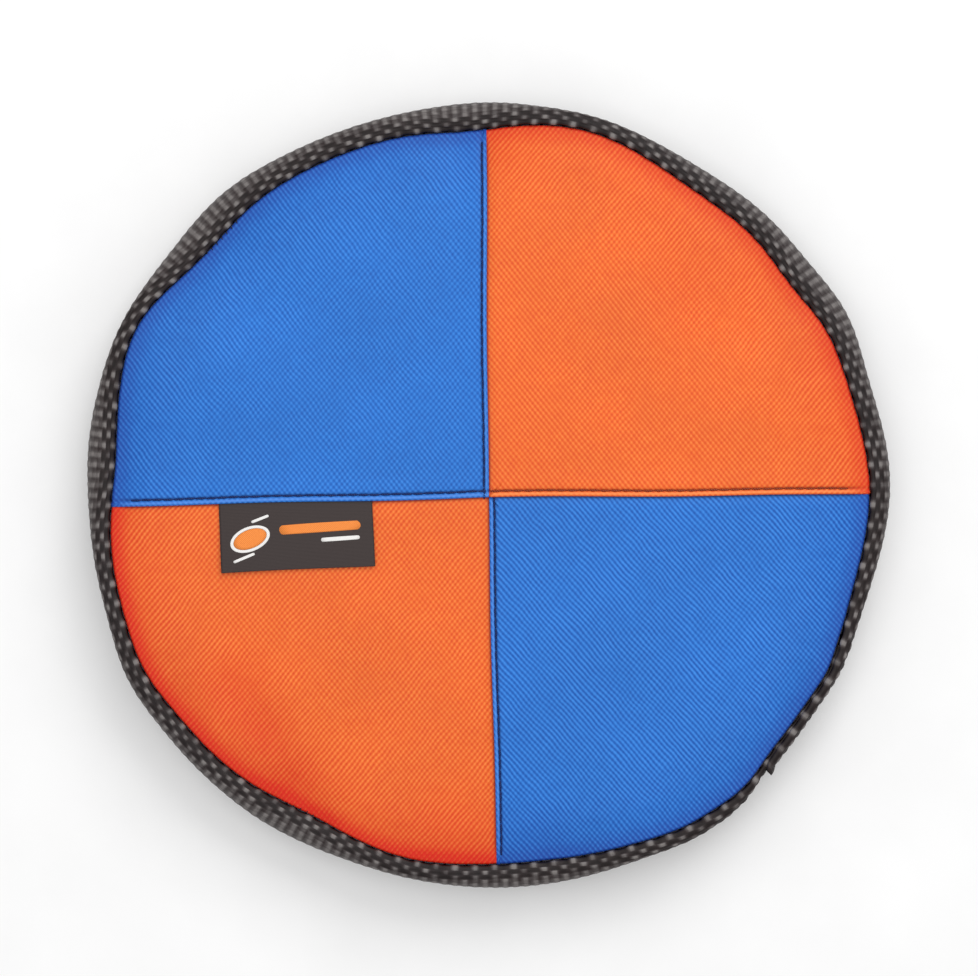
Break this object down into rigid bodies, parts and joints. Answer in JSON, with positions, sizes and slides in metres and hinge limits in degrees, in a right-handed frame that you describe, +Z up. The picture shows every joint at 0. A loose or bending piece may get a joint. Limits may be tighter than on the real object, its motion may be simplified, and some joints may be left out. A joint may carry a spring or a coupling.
{
  "type": "soft flying disc",
  "caption": "Soft padded fabric throwing disc in two colours with a webbing rim; it folds in half along its middle seam, and its sewn-in tag flips up.",
  "frame": {"origin": "centre of the disc, at the height of the webbing rim's lower edge, which the disc rests on", "axes": "+Z up, out of the panelled top; +X right; +Y towards the rear, so that the rear left and front right panels are blue"},
  "size_m": [0.24, 0.24, 0.0257],
  "materials": {
    "blue_fabric": "matte",
    "orange_fabric": "matte",
    "black_webbing": "matte",
    "lining_fabric": "matte",
    "padding_sheet": "matte",
    "thread": "satin",
    "label_satin": "satin"
  },
  "bodies": {
    "left_half": {"panel_blue_left": "blue_fabric", "panel_orange_left": "orange_fabric", "padding_left": "padding_sheet", "lining_left": "lining_fabric", "rim_webbing_left": "black_webbing", "rim_seam_thread_left": "thread", "allowance_overlock_left": "thread", "cross_seam_thread_left": "thread", "spine_seam_thread_rear": "thread"},
    "right_half": {"panel_orange_right": "orange_fabric", "panel_blue_right": "blue_fabric", "padding_right": "padding_sheet", "lining_right": "lining_fabric", "rim_webbing_right": "black_webbing", "rim_seam_thread_right": "thread", "allowance_overlock_right": "thread", "cross_seam_thread_right": "thread", "spine_seam_thread_front": "thread", "webbing_join_stitches": "thread"},
    "label": {"label": "label_satin"}
  },
  "joints": [
    {"name": "fold", "type": "hinge", "parent": "left_half", "child": "right_half", "pos_m": [0, 0, 0.02513], "axis": [0, -1, 0], "range_deg": [0, 165], "stiffness_Nm_per_rad": 0.008},
    {"name": "label_flap", "type": "hinge", "parent": "left_half", "child": "label", "pos_m": [-0.057, -0.0026, 0.02519], "axis": [-0.9998, 0, -0.0222], "range_deg": [0, 165]}
  ]
}
